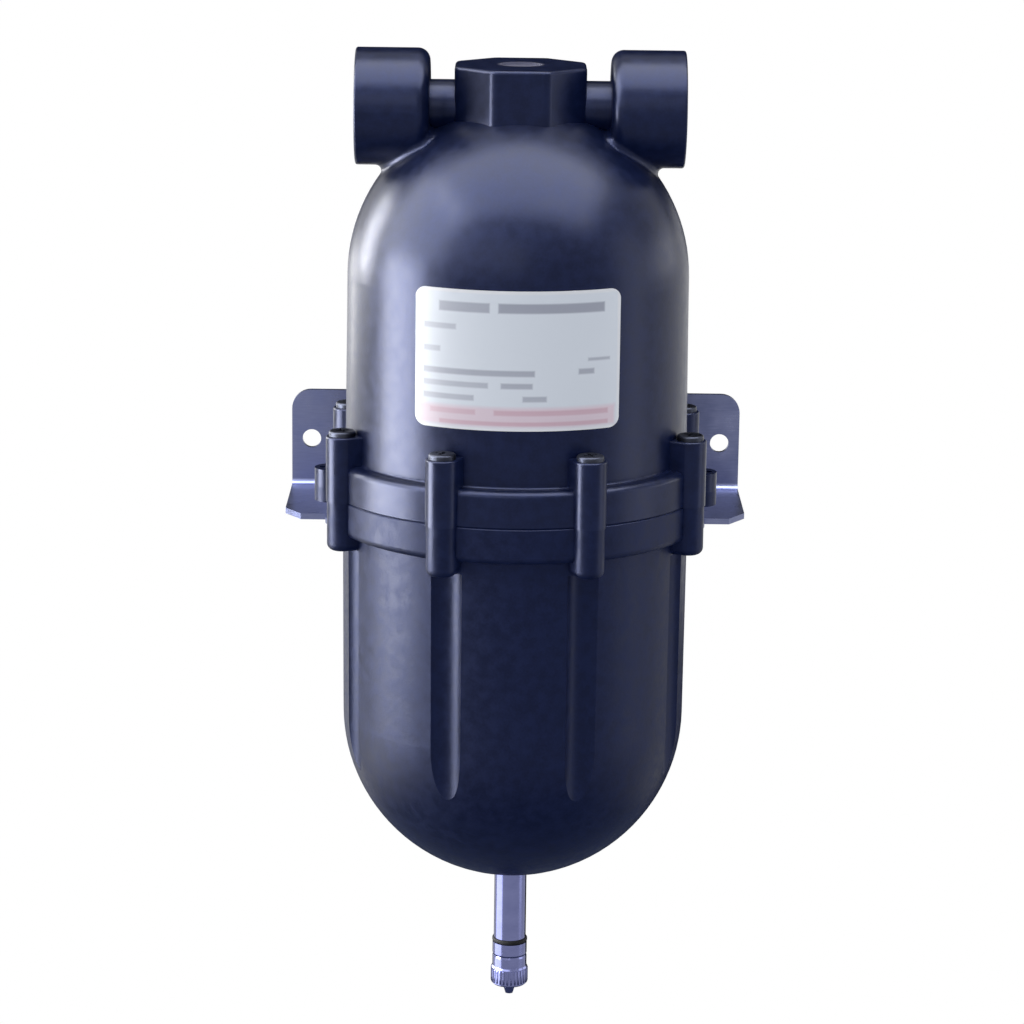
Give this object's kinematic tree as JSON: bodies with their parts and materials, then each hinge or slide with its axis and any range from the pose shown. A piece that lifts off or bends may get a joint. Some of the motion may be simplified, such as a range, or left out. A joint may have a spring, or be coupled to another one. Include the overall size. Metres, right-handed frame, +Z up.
{
  "type": "accumulator tank",
  "caption": "Small upright pressure accumulator with a domed two-part plastic housing, side pipe ports on top, an air valve below and a steel wall bracket.",
  "frame": {"origin": "halfway between the two wall holes, on the back face of the bracket", "axes": "+Z up along the tank, +Y into the wall, ports face -X and +X"},
  "size_m": [0.1182, 0.1024, 0.2428],
  "materials": {
    "housing": "satin, fine grain",
    "rubber": "matt",
    "screws": "black",
    "fittings": "zinc plated",
    "bracket": "satin",
    "label": "printed",
    "valve": "plated",
    "core": "plain"
  },
  "bodies": {
    "tank": {"upper_housing": "housing", "lower_housing": "housing", "diaphragm": "rubber", "housing_screws": "screws", "bracket_screws": "screws", "bracket_washers": "fittings", "bracket_nuts": "fittings", "mounting_bracket": "bracket", "label": "label", "valve_stem": "valve", "stem_seal": "rubber", "core_body": "core", "core_gasket": "rubber", "core_spring": "fittings", "mouth_ring": "rubber"},
    "cap": {"valve_cap": "valve", "cap_gasket": "rubber"},
    "pin": {"core_pin": "core", "core_seal": "rubber"}
  },
  "joints": [
    {"name": "cap_slide", "type": "slide", "parent": "tank", "child": "cap", "axis": [0, 0, -1], "range_m": [0, 0.014]},
    {"name": "pin_press", "type": "slide", "parent": "tank", "child": "pin", "axis": [0, 0, 1], "range_m": [0, 0.0012], "stiffness_N_per_m": 300, "springref_m": -0.001, "deforming": ["core_spring"]}
  ]
}
